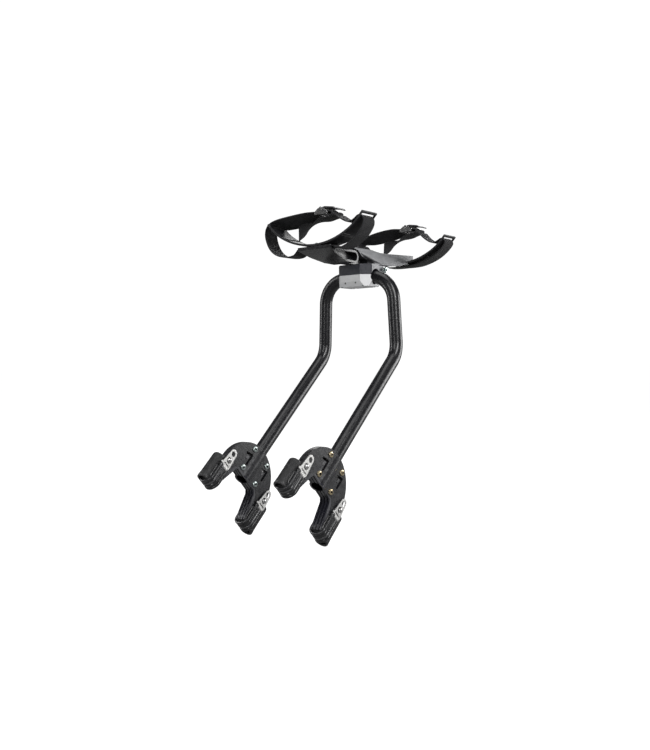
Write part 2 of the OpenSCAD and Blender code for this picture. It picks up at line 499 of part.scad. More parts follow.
frame_tube();
yoke_bolt_side(-1);  // left_yoke_bolt_side
yoke_nut_side(-1);  // left_yoke_nut_side
yoke_bolt_side(1);  // right_yoke_bolt_side
yoke_nut_side(1);  // right_yoke_nut_side
yoke_liner(-1);  // left_yoke_liner
yoke_liner(1);  // right_yoke_liner
yoke_bolts(-1, zinc);  // left_yoke_bolts
yoke_bolts(1, brass);  // right_yoke_bolts
yoke_nuts(-1, zinc);  // left_yoke_nuts
yoke_nuts(1, brass);  // right_yoke_nuts
shoe(-1, -1);  // left_front_shoe
shoe(-1, 1);  // left_rear_shoe
shoe(1, -1);  // right_front_shoe
shoe(1, 1);  // right_rear_shoe
shoe_strap(-1, -1);  // left_front_shoe_strap
shoe_strap(-1, 1);  // left_rear_shoe_strap
shoe_strap(1, -1);  // right_front_shoe_strap
shoe_strap(1, 1);  // right_rear_shoe_strap
latch_pins(-1);  // left_latch_pins
latch_pins(1);  // right_latch_pins
latch_studs(-1);  // left_latch_studs
latch_studs(1);  // right_latch_studs
strap_rivets(-1);  // left_strap_rivets
strap_rivets(1);  // right_strap_rivets
latch(-1, -1);  // left_front_latch
latch(-1, 1);  // left_rear_latch
latch(1, -1);  // right_front_latch
latch(1, 1);  // right_rear_latch
head_lower_clamp();
head_upper_clamp();
tilt_bush();
head_clamp_screws();
head_set_screws();
tilt_lock_bolt();
tilt_lock_washers();
tilt_lock_nut();
front_arm();
rear_arm();
arm_bolts();
front_saddle();
rear_saddle();
saddle_screws();
front_strap();
rear_strap();
at_front_buckle() color(steel) buckle_frame();  // front_buckle_frame
at_rear_buckle() color(steel) buckle_frame();  // rear_buckle_frame
at_front_buckle() color(steel) buckle_pin();  // front_buckle_pin
at_rear_buckle() color(steel) buckle_pin();  // rear_buckle_pin
at_front_buckle() color(steel) buckle_spring();  // front_buckle_spring
at_rear_buckle() color(steel) buckle_spring();  // rear_buckle_spring
at_front_buckle() color([0.15, 0.15, 0.15]) buckle_lever();  // front_buckle_lever
at_rear_buckle() color([0.15, 0.15, 0.15]) buckle_lever();  // rear_buckle_lever
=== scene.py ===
import bpy, bmesh, math, json, random
from mathutils import Vector, Matrix

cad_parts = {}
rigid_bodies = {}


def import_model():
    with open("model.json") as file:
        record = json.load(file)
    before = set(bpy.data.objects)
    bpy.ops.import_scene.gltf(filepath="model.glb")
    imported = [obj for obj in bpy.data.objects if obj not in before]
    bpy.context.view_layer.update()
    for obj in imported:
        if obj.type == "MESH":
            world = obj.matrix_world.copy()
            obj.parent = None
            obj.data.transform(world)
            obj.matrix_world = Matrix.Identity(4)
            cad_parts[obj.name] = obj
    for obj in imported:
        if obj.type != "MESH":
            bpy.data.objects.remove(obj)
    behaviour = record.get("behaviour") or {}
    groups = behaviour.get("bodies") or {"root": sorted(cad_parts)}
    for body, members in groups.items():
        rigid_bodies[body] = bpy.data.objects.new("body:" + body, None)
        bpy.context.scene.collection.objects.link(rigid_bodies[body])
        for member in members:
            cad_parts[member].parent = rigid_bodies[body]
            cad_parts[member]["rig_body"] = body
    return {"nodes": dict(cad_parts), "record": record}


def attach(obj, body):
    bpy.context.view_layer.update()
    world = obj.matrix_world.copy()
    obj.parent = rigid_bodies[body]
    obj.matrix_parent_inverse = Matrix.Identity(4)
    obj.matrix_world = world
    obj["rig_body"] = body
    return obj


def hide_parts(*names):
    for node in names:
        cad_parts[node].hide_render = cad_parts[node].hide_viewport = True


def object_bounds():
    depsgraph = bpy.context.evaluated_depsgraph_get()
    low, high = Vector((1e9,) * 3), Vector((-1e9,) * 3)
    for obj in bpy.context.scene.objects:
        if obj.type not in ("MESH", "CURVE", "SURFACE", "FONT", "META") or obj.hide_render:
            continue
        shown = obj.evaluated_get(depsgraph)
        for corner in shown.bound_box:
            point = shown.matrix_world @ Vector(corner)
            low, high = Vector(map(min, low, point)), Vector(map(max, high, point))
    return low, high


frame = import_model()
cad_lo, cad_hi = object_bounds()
random.seed(7)

NODES = frame["nodes"]
LEAN = math.radians(49.0)
C, S = math.cos(LEAN), math.sin(LEAN)
GAP, LEG, STEM, TOE = 172.8, 370.0, 150.6, math.radians(2.6)
YT, ZC = LEG * S, LEG * C
ZT = ZC + STEM

def yk(side, x, b, z):
    return Vector((side * GAP / 2 + x, b * C + z * S, -b * S + z * C))

def hd(x, y, z):
    return Vector((x, YT + y, ZT + z))

# ------------------------------------------------------------------ materials
def nd(nt, kind, **kw):
    n = nt.nodes.new(kind)
    for k, v in kw.items():
        setattr(n, k, v)
    return n

def coords(nt, scale=(1, 1, 1), rot=(0, 0, 0), out="Object"):
    tc = nd(nt, "ShaderNodeTexCoord")
    mp = nd(nt, "ShaderNodeMapping")
    mp.inputs["Scale"].default_value = scale
    mp.inputs["Rotation"].default_value = rot
    nt.links.new(tc.outputs[out], mp.inputs["Vector"])
    return mp.outputs["Vector"]

def noise(nt, vec, scale, detail=4.0, rough=0.5):
    n = nd(nt, "ShaderNodeTexNoise")
    n.inputs["Scale"].default_value = scale
    n.inputs["Detail"].default_value = detail
    n.inputs["Roughness"].default_value = rough
    nt.links.new(vec, n.inputs["Vector"])
    return n.outputs["Fac"]

def mapr(nt, val, a, b, c, d):
    m = nd(nt, "ShaderNodeMapRange")
    for i, v in zip(("From Min", "From Max", "To Min", "To Max"), (a, b, c, d)):
        m.inputs[i].default_value = v
    nt.links.new(val, m.inputs["Value"])
    return m.outputs["Result"]

def math2(nt, op, a, b=None):
    m = nd(nt, "ShaderNodeMath", operation=op)
    for i, v in enumerate((a, b)):
        if v is None:
            continue
        if isinstance(v, (int, float)):
            m.inputs[i].default_value = v
        else:
            nt.links.new(v, m.inputs[i])
    return m.outputs[0]

def mixc(nt, fac, a, b):
    m = nd(nt, "ShaderNodeMix", data_type="RGBA")
    if isinstance(fac, (int, float)):
        m.inputs[0].default_value = fac
    else:
        nt.links.new(fac, m.inputs[0])
    for i, v in ((6, a), (7, b)):
        if isinstance(v, tuple):
            m.inputs[i].default_value = (*v, 1)
        else:
            nt.links.new(v, m.inputs[i])
    return m.outputs[2]

def bump(nt, height, dist, strength=1.0, prev=None):
    b = nd(nt, "ShaderNodeBump")
    b.inputs["Distance"].default_value = dist
    b.inputs["Strength"].default_value = strength
    nt.links.new(height, b.inputs["Height"])
    if prev is not None:
        nt.links.new(prev, b.inputs["Normal"])
    return b.outputs["Normal"]

def base(name, metal=0.0, coat=0.0, spec=0.5):
    m = bpy.data.materials.new(name)
    m.use_nodes = True
    nt = m.node_tree
    p = nt.nodes["Principled BSDF"]
    p.inputs["Metallic"].default_value = metal
    p.inputs["Coat Weight"].default_value = coat
    p.inputs["Coat Roughness"].default_value = 0.12
    p.inputs["Specular IOR Level"].default_value = spec
    return m, nt, p

def finish_mat(nt, p, col, rough, normal=None):
    nt.links.new(col, p.inputs["Base Color"])
    nt.links.new(rough, p.inputs["Roughness"])
    if normal is not None:
        nt.links.new(normal, p.inputs["Normal"])

def edge_mask(nt, lo=0.52, hi=0.62):
    g = nd(nt, "ShaderNodeNewGeometry")
    return mapr(nt, g.outputs["Pointiness"], lo, hi, 0, 1)

def plastic(name, dark, light, rough=0.42, grain=1800, depth=0.00006, edge_wear_and_highlight=(0.2, 0.2, 0.21), edge_wear_and_highlight_amt=0.5, coat=0.0, spec=0.5):
    m, nt, p = base(name, 0, coat, spec)
    v = coords(nt)
    big = noise(nt, v, 22, 5, 0.55)
    fine = noise(nt, v, grain, 3, 0.6)
    mid = noise(nt, v, 160, 4, 0.6)
    col = mixc(nt, mapr(nt, big, 0.35, 0.65, 0, 1), dark, light)
    # lighter colour on sharp edges: scuff wear, and on the saddles a painted highlight along the bevelled edges
    scuff_and_highlight = math2(nt, "MULTIPLY", edge_mask(nt), mapr(nt, mid, 0.4, 0.65, 0.15, 1))
    col = mixc(nt, math2(nt, "MULTIPLY", scuff_and_highlight, edge_wear_and_highlight_amt), col, edge_wear_and_highlight)
    r = math2(nt, "ADD", mapr(nt, mid, 0.3, 0.7, rough - 0.07, rough + 0.07), mapr(nt, fine, 0.3, 0.7, -0.03, 0.03))
    n = bump(nt, fine, depth, 0.7, bump(nt, mid, depth * 1.4, 0.35))
    finish_mat(nt, p, col, r, n)
    return m

def metal(name, col_a, col_b, rough=0.28, stretch=(30, 30, 1500), scratch=0.00002, metallic=1.0, edge=(0.95, 0.95, 0.95), grime=0.25):
    m, nt, p = base(name, metallic)
    v = coords(nt)
    vs = coords(nt, stretch)
    big = noise(nt, v, 30, 5, 0.6)
    brushed = noise(nt, vs, 1.0, 6, 0.65)
    spots = noise(nt, v, 420, 3, 0.6)
    col = mixc(nt, mapr(nt, big, 0.35, 0.65, 0, 1), col_a, col_b)
    col = mixc(nt, math2(nt, "MULTIPLY", mapr(nt, spots, 0.6, 0.8, 0, 1), grime), col, tuple(c * 0.55 for c in col_a))
    col = mixc(nt, math2(nt, "MULTIPLY", edge_mask(nt), 0.5), col, edge)
    r = math2(nt, "ADD", mapr(nt, brushed, 0.3, 0.7, rough - 0.08, rough + 0.1), mapr(nt, spots, 0.4, 0.7, 0, 0.05))
    finish_mat(nt, p, col, r, bump(nt, brushed, scratch, 0.5, bump(nt, spots, scratch * 1.5, 0.3)))
    return m

def rubber(name, dark, light, rough=0.33, rib=None, coat=0.25):
    m, nt, p = base(name, 0, coat, 0.5)
    v = coords(nt)
    big = noise(nt, v, 26, 5, 0.6)
    fine = noise(nt, v, 1500, 3, 0.6)
    dust = noise(nt, v, 95, 6, 0.7)
    col = mixc(nt, mapr(nt, big, 0.35, 0.65, 0, 1), dark, light)
    col = mixc(nt, mapr(nt, dust, 0.62, 0.85, 0, 0.25), col, (0.16, 0.16, 0.165))
    col = mixc(nt, math2(nt, "MULTIPLY", edge_mask(nt), 0.35), col, (0.2, 0.2, 0.21))
    r = mapr(nt, dust, 0.3, 0.75, rough - 0.06, rough + 0.14)
    h = fine
    n = bump(nt, h, 0.00004, 0.6)
    if rib:
        vr = coords(nt, rot=rib[0])
        w = nd(nt, "ShaderNodeTexWave", wave_type="BANDS", bands_direction="X")
        w.inputs["Scale"].default_value = rib[1]
        w.inputs["Distortion"].default_value = 0.0
        nt.links.new(vr, w.inputs["Vector"])
        w2 = nd(nt, "ShaderNodeTexWave", wave_type="BANDS", bands_direction="Z")
        w2.inputs["Scale"].default_value = rib[1]
        nt.links.new(vr, w2.inputs["Vector"])
        n = bump(nt, math2(nt, "MULTIPLY", w.outputs["Fac"], w2.outputs["Fac"]), 0.00025, 0.8, n)
    finish_mat(nt, p, col, r, n)
    return m

def webbing(name, dark, light, pitch=1.5):
    # UV: u along the strap, v across it, both in millimetres
    m, nt, p = base(name, 0, 0, 0.3)
    p.inputs["Sheen Weight"].default_value = 0.08
    p.inputs["Sheen Roughness"].default_value = 0.5
    tc = nd(nt, "ShaderNodeTexCoord")
    sx = nd(nt, "ShaderNodeSeparateXYZ")
    nt.links.new(tc.outputs["UV"], sx.inputs[0])
    u, v = sx.outputs[0], sx.outputs[1]
    k = 2 * math.pi / pitch
    # twill: rows across, chevrons along the middle
    vv = math2(nt, "ABSOLUTE", v)
    diag = math2(nt, "SINE", math2(nt, "MULTIPLY", math2(nt, "ADD", u, vv), k))
    rows = math2(nt, "SINE", math2(nt, "MULTIPLY", v, k * 1.25))
    weft = math2(nt, "SINE", math2(nt, "MULTIPLY", u, k * 1.6))
    h = math2(nt, "ADD", math2(nt, "MULTIPLY", diag, 0.6), math2(nt, "MULTIPLY", math2(nt, "MULTIPLY", rows, weft), 0.6))
    fuzz = noise(nt, coords(nt), 2600, 3, 0.7)
    big = noise(nt, coords(nt), 45, 4, 0.6)
    h2 = math2(nt, "ADD", h, math2(nt, "MULTIPLY", fuzz, 0.7))
    col = mixc(nt, mapr(nt, h2, -0.6, 1.3, 0, 1), dark, light)
    col = mixc(nt, mapr(nt, big, 0.4, 0.75, 0, 0.35), col, tuple(c * 1.7 for c in light))
    edge = mapr(nt, vv, 15.6, 17.2, 0, 0.6)
    col = mixc(nt, edge, col, tuple(c * 1.5 for c in light))
    finish_mat(nt, p, col, mapr(nt, fuzz, 0.3, 0.7, 0.62, 0.85), bump(nt, h2, 0.00022, 0.9))
    return m

M = {}
M["painted_tube"] = plastic("painted_tube", (0.007, 0.007, 0.009), (0.009, 0.009, 0.011), 0.29, 5200, 0.000002, (0.02, 0.02, 0.022), 0.1, 0.0, 0.62)
M["yoke_plastic"] = plastic("yoke_plastic", (0.009, 0.009, 0.011), (0.015, 0.015, 0.018), 0.30, 1400, 0.00004, (0.22, 0.22, 0.23), 0.8)
M["gloss_rubber"] = rubber("gloss_rubber", (0.008, 0.008, 0.012), (0.018, 0.018, 0.028), 0.2, None, 0.6)
M["zinc_steel"] = metal("zinc_steel", (0.55, 0.64, 0.62), (0.68, 0.76, 0.74), 0.27, (200, 200, 200), edge=(0.7, 0.78, 0.77))
M["brass_plate"] = metal("brass_plate", (0.62, 0.50, 0.30), (0.74, 0.64, 0.44), 0.27, (200, 200, 200), edge=(0.75, 0.66, 0.46))
M["shoe_rubber"] = rubber("shoe_rubber", (0.004, 0.004, 0.005), (0.009, 0.009, 0.010), 0.25)
M["pad_rubber"] = rubber("pad_rubber", (0.005, 0.005, 0.006), (0.012, 0.012, 0.013), 0.32, ((LEAN, 0, 0), 330), 0.1)
M["strap_rubber"] = rubber("strap_rubber", (0.005, 0.005, 0.006), (0.012, 0.012, 0.014), 0.22)
M["stainless"] = metal("stainless", (0.50, 0.50, 0.51), (0.62, 0.61, 0.60), 0.2, (300, 300, 300))
M["latch_steel"] = metal("latch_steel", (0.72, 0.715, 0.70), (0.82, 0.815, 0.80), 0.3, (900, 60, 60), 0.00001, 0.6)
M["bright_alloy"] = metal("bright_alloy", (0.84, 0.85, 0.87), (0.93, 0.935, 0.94), 0.36, (30, 900, 900), 0.00002, 0.35, (0.9, 0.9, 0.9), 0.25)
M["black_cast"] = plastic("black_cast", (0.020, 0.021, 0.028), (0.040, 0.042, 0.054), 0.34, 700, 0.00022, (0.2, 0.21, 0.24), 0.7, 0.1, 0.6)
M["bush_plastic"] = plastic("bush_plastic", (0.08, 0.08, 0.08), (0.12, 0.12, 0.12), 0.5)
M["dark_steel"] = metal("dark_steel", (0.06, 0.06, 0.06), (0.1, 0.1, 0.1), 0.35, (300, 300, 300))
M["black_moulding"] = plastic("black_moulding", (0.007, 0.007, 0.008), (0.014, 0.014, 0.016), 0.3, 1200, 0.00004, (0.2, 0.2, 0.21), 0.5, 0.15)
M["grey_alloy"] = metal("grey_alloy", (0.085, 0.087, 0.092), (0.12, 0.122, 0.127), 0.38, (300, 20, 900), 0.00002, 0.4, (0.6, 0.6, 0.61), 0.1)
# saddle plastic: its strong light edge colour is a painted highlight on the bevelled edges
M["saddle_plastic"] = plastic("saddle_plastic", (0.007, 0.007, 0.008), (0.015, 0.015, 0.017), 0.5, 1300, 0.00005, (0.4, 0.4, 0.41), 0.9, 0.0, 0.3)
M["webbing"] = webbing("webbing", (0.003, 0.003, 0.004), (0.017, 0.017, 0.019))
M["lever_plastic"] = plastic("lever_plastic", (0.03, 0.03, 0.033), (0.06, 0.06, 0.064), 0.4)
# near-black material for plugs set into the bolt heads: painted shade for the shadow inside the hex sockets
M["oiled_socket"] = plastic("oiled_socket", (0.002, 0.002, 0.002), (0.004, 0.004, 0.004), 0.7, 1500, 0.00002, (0.02, 0.02, 0.02), 0.1, 0.0, 0.1)
M["thread"] = plastic("thread", (0.1, 0.1, 0.105), (0.16, 0.16, 0.165), 0.7, 3000, 0.00005)

SLOT = {s["node"]: s.get("material_slot") for s in frame["record"].get("subparts", []) if "node" in s}

# ------------------------------------------------------------------ mesh helpers (millimetres in, metres out)
def put(name, verts, faces, mat, body, replaces=(), uv=None, sharp=None):
    me = bpy.data.meshes.new(name)
    me.from_pydata([(v[0] * 0.001, v[1] * 0.001, v[2] * 0.001) for v in verts], [], faces)
    me.validate()
    if uv:
        l = me.uv_layers.new(name="UVMap")
        for lp in me.loops:
            l.data[lp.index].uv = uv[lp.vertex_index]
    bm = bmesh.new()
    bm.from_mesh(me)
    bmesh.ops.recalc_face_normals(bm, faces=bm.faces)
    bm.to_mesh(me)
    bm.free()
    me.shade_smooth()
    if sharp:
        me.set_sharp_from_angle(angle=math.radians(sharp))
    o = bpy.data.objects.new(name, me)
    bpy.context.scene.collection.objects.link(o)
    me.materials.append(M[mat])
    if replaces:
        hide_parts(*replaces)
    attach(o, body)
    return o

def refine(node, width=0.6, seg=2, mat=None, angle=30, name=None):
    """A copy of a CAD node with its sharp edges rounded."""
    src = NODES[node]
    bm = bmesh.new()
    bm.from_mesh(src.data)
    bmesh.ops.remove_doubles(bm, verts=bm.verts, dist=2e-6)
    bmesh.ops.dissolve_limit(bm, angle_limit=math.radians(0.5), verts=bm.verts, edges=bm.edges, delimit=set())
    me = bpy.data.meshes.new("v_" + node)
    bm.verts.index_update()
    me.from_pydata([v.co.copy() for v in bm.verts], [], [[v.index for v in f.verts] for f in bm.faces])
    bm.free()
    me.validate()
    me.shade_smooth()
    o = bpy.data.objects.new("v_" + node, me)
    bpy.context.scene.collection.objects.link(o)
    b = o.modifiers.new("bevel", "BEVEL")
    b.width = width * 0.001
    b.segments = seg
    b.limit_method = "ANGLE"
    b.angle_limit = math.radians(angle)
    b.harden_normals = True
    b.miter_outer = "MITER_ARC"
    b.use_clamp_overlap = True
    bpy.context.view_layer.update()
    ev = o.evaluated_get(bpy.context.evaluated_depsgraph_get())
    done = bpy.data.meshes.new_from_object(ev)
    o.modifiers.clear()
    o.data = done
    done.materials.clear()
    done.materials.append(M[mat])
    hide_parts(node)
    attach(o, src["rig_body"])
    return o

def lathe(centre, axis, prof, n=40, ref=Vector((0.3, 0.4, 0.86))):
    """Closed surface of revolution: prof is [(r, h)...], first and last on the axis."""
    a = axis.normalized()
    u = a.cross(ref).normalized()
    w = a.cross(u)
    v, f, rings = [], [], []
    for r, h in prof:
        if r < 1e-6:
            rings.append([len(v)])
            v.append(centre + a * h)
        else:
            rings.append(list(range(len(v), len(v) + n)))
            for i in range(n):
                t = 2 * math.pi * i / n
                v.append(centre + a * h + (u * math.cos(t) + w * math.sin(t)) * r)
    for p, q in zip(rings, rings[1:]):
        for i in range(n):
            j = (i + 1) % n
            if len(p) == 1 and len(q) == 1:
                continue
            if len(p) == 1:
                f.append((p[0], q[i], q[j]))
            elif len(q) == 1:
                f.append((p[i], p[j], q[0]))
            else:
                f.append((p[i], p[j], q[j], q[i]))
    return v, f

def fillet(pts, radii, arc=36, step=12.0):
    """Polyline with round corners, sampled."""
    out = []
    prev = pts[0]
    for i in range(1, len(pts) - 1):
        a, b, c = pts[i - 1], pts[i], pts[i + 1]
        d1, d2 = (a - b).normalized(), (c - b).normalized()
        ang = math.pi - d1.angle(d2)
        r = radii[i - 1]
        t = r * math.tan(ang / 2)
        p, q = b + d1 * t, b + d2 * t
        n = max(2, int((p - prev).length / step))
        out += [prev.lerp(p, k / n) for k in range(n)]
        ctr = b + (d1 + d2).normalized() * (r / math.cos(ang / 2))
        e1, e2 = p - ctr, q - ctr
        for k in range(arc):
            s = k / arc
            out.append(ctr + (e1 * math.sin((1 - s) * ang) + e2 * math.sin(s * ang)) / math.sin(ang))
        prev = q
    n = max(2, int((pts[-1] - prev).length / step))
    out += [prev.lerp(pts[-1], k / n) for k in range(n + 1)]
    return out

def transport(path, start):
    """Parallel-transported frames along a path."""
    fr = []
    u = start
    for i, p in enumerate(path):
        t = (path[min(i + 1, len(path) - 1)] - path[max(i - 1, 0)]).normalized()
        u = (u - t * u.dot(t)).normalized()
        fr.append((p, t, u, t.cross(u)))
    return fr

# ------------------------------------------------------------------ frame tube: one smooth swept pipe with open ends
top_x = GAP / 2 - STEM * math.tan(TOE)
corner = [yk(-1, 0, 0, 36), Vector((-GAP / 2, YT, ZC)), Vector((-top_x, YT, ZT)), Vector((top_x, YT, ZT)), Vector((GAP / 2, YT, ZC)), yk(1, 0, 0, 36)]
path = fillet(corner, [50] * 4)
fr = transport(path, Vector((0, 1, 0)))
NS = 48
tv, tf = [], []
rings = []
prof_r = []
for i, (p, t, u, w) in enumerate(fr):
    for r in (12.7, 10.7):
        for k in range(NS):
            a = 2 * math.pi * k / NS
            tv.append(p + (u * math.cos(a) + w * math.sin(a)) * r)
n2 = 2 * NS
for i in range(len(fr) - 1):
    for k in range(NS):
        j = (k + 1) % NS
        a, b = i * n2, (i + 1) * n2
        tf.append((a + k, a + j, b + j, b + k))
        tf.append((a + NS + k, b + NS + k, b + NS + j, a + NS + j))
for i in (0, len(fr) - 1):
    for k in range(NS):
        j = (k + 1) % NS
        a = i * n2
        tf.append((a + k, a + NS + k, a + NS + j, a + j))
put("frame_pipe", tv, tf, "painted_tube", "frame", ["frame_tube"], sharp=50)

# ------------------------------------------------------------------ yokes, liners, bolts
for sd in ("left", "right"):
    refine(sd + "_yoke_bolt_side", 0.9, 3, "yoke_plastic")
    refine(sd + "_yoke_nut_side", 0.9, 3, "yoke_plastic")
    refine(sd + "_yoke_liner", 0.55, 3, "gloss_rubber")
    bolt = "zinc_steel" if sd == "left" else "brass_plate"
    refine(sd + "_yoke_bolts", 0.35, 2, bolt)
    refine(sd + "_yoke_nuts", 0.35, 2, bolt)
    refine(sd + "_latch_pins", 0.3, 2, "stainless")
    refine(sd + "_latch_studs", 0.35, 3, "stainless")
    refine(sd + "_strap_rivets", 0.35, 3, "stainless")
    side = -1 if sd == "left" else 1
    # dark hex plugs in the bolt heads: painted shade standing in for the shadow inside the hex sockets
    hv, hf = [], []
    for b0 in (-22.8, 22.8):
        for z0 in (41.3, 85.0):
            ax = Vector((1, 0, 0))
            pv, pf = lathe(yk(side, 11.3, b0, z0), ax, [(0, 0.6), (3.2, 0.6), (3.3, 2.75), (3.15, 3.0), (2.75, 2.95), (2.3, 1.6), (0, 1.5)], 6)
            hf += [tuple(q + len(hv) for q in face) for face in pf]
            hv += pv
    put(sd + "_bolt_socket_shade", hv, hf, "oiled_socket", "frame", sharp=25)
    # small raised lands beside the slots
    lv, lf = [], []
    for b0, z0 in ((-27.5, 61), (24.0, 67.5)):
        k = len(lv)
        for x, g in ((11.0, 0), (11.9, 0), (12.2, 0.35)):
            for db, dz in ((-1.9 + g, -4 + g), (1.9 - g, -4 + g), (1.9 - g, 4 - g), (-1.9 + g, 4 - g)):
                lv.append(yk(side, x, b0 + db, z0 + dz))
        lf.append((k, k + 1, k + 2, k + 3))
        lf.append((k + 8, k + 9, k + 10, k + 11))
        for r in (0, 4):
            for q in range(4):
                lf.append((k + r + q, k + r + (q + 1) % 4, k + r + 4 + (q + 1) % 4, k + r + 4 + q))
    put(sd + "_slot_lands", lv, lf, "yoke_plastic", "frame", sharp=30)

# ------------------------------------------------------------------ shoes
def rrect(x0, x1, y0, y1, r, n=6):
    r = min(r, (x1 - x0) / 2 - 0.01, (y1 - y0) / 2 - 0.01)
    pts = []
    for cx, cy, a0 in ((x1 - r, y1 - r, 0), (x0 + r, y1 - r, 90), (x0 + r, y0 + r, 180), (x1 - r, y0 + r, 270)):
        for i in range(n + 1):
            a = math.radians(a0 + 90 * i / n)
            pts.append((cx + r * math.cos(a), cy + r * math.sin(a)))
    return pts

def shoe(sd, m):
    side = -1 if sd == "left" else 1
    h = 17 if m > 0 else 6
    w = 80 if m > 0 else 76
    e = -26 if m > 0 else -33.5
    top = h - 5
    tag = f"{sd}_{'rear' if m > 0 else 'front'}"
    # body, rounded at the tip
    z_top = top
    R = 12.0
    zs = [(z_top, 1.6), (z_top - 0.5, 0.5), (z_top - 1.6, 0.0)]
    for q in range(1, 9):
        zs.append((z_top - 1.6 - (z_top - 1.6 - (e + R)) * q / 8, 0.0))
    for q in range(1, 11):
        a = math.radians(90 * q / 10 * 0.985)
        zs.append((e + R - R * math.sin(a), R * (1 - math.cos(a))))
    v, f = [], []
    nr = None
    for z, ins in zs:
        # the outline leans with the notch side on the inner edge
        inner = 46.2 + max(0, (-15 - z)) * 0.22
        pts = rrect(-11.4 + ins * 0.95, 14.3 - ins * 0.95, inner + ins * 0.7, w - ins * 0.95, 3.2 + ins * 0.35)
        nr = len(pts)
        for x, b in pts:
            v.append(yk(side, x, m * b, z))
    for i in range(len(zs) - 1):
        for k in range(nr):
            j = (k + 1) % nr
            f.append((i * nr + k, i * nr + j, (i + 1) * nr + j, (i + 1) * nr + k))
    f.append(tuple(range(nr)))
    f.append(tuple((len(zs) - 1) * nr + k for k in range(nr)))
    body = put("shoe_" + tag, v, f, "shoe_rubber", "frame", [tag + "_shoe"], sharp=48)
    # half-round outer pad with a hollow lower end
    zb, zt = e + 1.0, top + 22
    prof = [(0, zt - 0.2), (7.5, zt), (10.2, zt - 0.7), (11.6, zt - 2.4), (12, zt - 5), (12, zb + 14), (12.3, zb + 7), (12.6, zb + 1.4), (12.1, zb + 0.3), (11.2, zb),
            (9.3, zb + 0.2), (8.6, zb + 1.2), (8.2, zb + 6), (7.4, zb + 11), (5.2, zb + 13.6), (0, zb + 14.4)]
    c0 = yk(side, 0.5, m * (w - 4), 0)
    pv, pf = lathe(c0, yk(0, 0, 0, 1) - yk(0, 0, 0, 0), prof, 48)
    put("pad_" + tag, pv, pf, "pad_rubber", "frame", sharp=50)
    # flat web that joins the pad to the shoe
    wv, wf = [], []
    for z in (top + 19.5, top + 10, top, e + 12):
        for x, b in rrect(-9.8, 10.8, w - 15.5 if z > top else w - 12, w - 2, 2.4, 4):
            wv.append(yk(side, x, m * b, z))
    nn = len(wv) // 4
    for i in range(3):
        for k in range(nn):
            j = (k + 1) % nn
            wf.append((i * nn + k, i * nn + j, (i + 1) * nn + j, (i + 1) * nn + k))
    wf.append(tuple(range(nn)))
    wf.append(tuple(3 * nn + k for k in range(nn)))
    put("pad_web_" + tag, wv, wf, "shoe_rubber", "frame", sharp=48)
    # ribbed rubber strap round the tip
    et = e - 0.2
    line = fillet([Vector((14.7, 0, h - 1.5)), Vector((14.7, 0, et)), Vector((-11.7, 0, et)), Vector((-11.7, 0, h - 7))], [12.6, 12.6], 18, 3.0)
    fr2 = transport(line, Vector((0, 1, 0)))
    half = 11.7
    cross = []
    ribs = [(-half, 0.0), (-half, 2.2), (-half + 0.5, 3.0), (-half + 1.3, 3.25), (-half + 3.2, 3.25), (-half + 4.2, 2.6), (-half + 4.7, 1.9), (-half + 6.6, 1.9), (-half + 7.2, 2.5), (-half + 8.2, 2.9), (-1.6, 2.95),
            (-0.9, 2.2), (0.9, 2.2), (1.6, 2.95)]
    cross = ribs + [(-a, hgt) for a, hgt in reversed(ribs[:11])]
    cross = [(-half, 0.0)] + cross[1:-1] + [(half, 0.0)]
    sv, sf = [], []
    for i, (p, t, u, n) in enumerate(fr2):
        z_here = p.z
        nrm = Vector((t.z, 0, -t.x)) if False else Vector((-t.z, 0, t.x))
        if nrm.dot(p - Vector((1.5, 0, (h + e) / 2))) < 0:
            nrm = -nrm
        pinch = 0.0
        for a, hgt in cross:
            q = p + nrm * hgt
            sv.append(yk(side, q.x, m * (61 + a * (1 - pinch)), q.z))
    nc = len(cross)
    for i in range(len(fr2) - 1):
        for k in range(nc):
            j = (k + 1) % nc
            sf.append((i * nc + k, i * nc + j, (i + 1) * nc + j, (i + 1) * nc + k))
    sf.append(tuple(range(nc)))
    sf.append(tuple((len(fr2) - 1) * nc + k for k in range(nc)))
    put("strap_" + tag, sv, sf, "strap_rubber", "frame", [tag + "_shoe_strap"], sharp=42)
    # hinge knuckles of the strap
    for y0 in (49.4, 68.1):
        ax = (yk(0, 0, m, 0) - yk(0, 0, 0, 0))
        kv, kf = lathe(yk(side, 16, m * y0, h), ax, [(1.5, 0.4), (2.3, 0), (2.8, 0.5), (2.8, 4.1), (2.3, 4.6), (1.5, 4.2), (1.5, 0.4)], 28)
        put(f"knuckle_{tag}_{int(y0)}", kv, kf, "strap_rubber", "frame", sharp=40)
    # latch, on its own body
    refine(tag + "_latch", 0.45, 3, "latch_steel")

for sd in ("left", "right"):
    for m in (-1, 1):
        shoe(sd, m)

# ------------------------------------------------------------------ head, arms, saddles, hardware
refine("head_lower_clamp", 0.8, 3, "bright_alloy")
refine("head_upper_clamp", 1.0, 3, "black_cast")
refine("tilt_bush", 0.3, 2, "bush_plastic")
refine("head_clamp_screws", 0.4, 2, "zinc_steel")
refine("head_set_screws", 0.2, 2, "dark_steel")
refine("tilt_lock_bolt", 0.35, 2, "zinc_steel")
refine("tilt_lock_washers", 0.25, 2, "stainless")
refine("tilt_lock_nut", 0.4, 2, "zinc_steel")
refine("front_arm", 1.6, 4, "black_moulding")
refine("rear_arm", 2.0, 4, "grey_alloy")
refine("arm_bolts", 0.5, 2, "zinc_steel")
refine("front_saddle", 1.5, 4, "saddle_plastic")
refine("rear_saddle", 1.5, 4, "saddle_plastic")
refine("saddle_screws", 0.3, 2, "zinc_steel")
for e in ("front", "rear"):
    refine(e + "_buckle_frame", 0.4, 2, "stainless")
    refine(e + "_buckle_pin", 0.3, 2, "stainless")
    refine(e + "_buckle_spring", 0.05, 1, "stainless", 60)
    refine(e + "_buckle_lever", 0.7, 3, "lever_plastic")

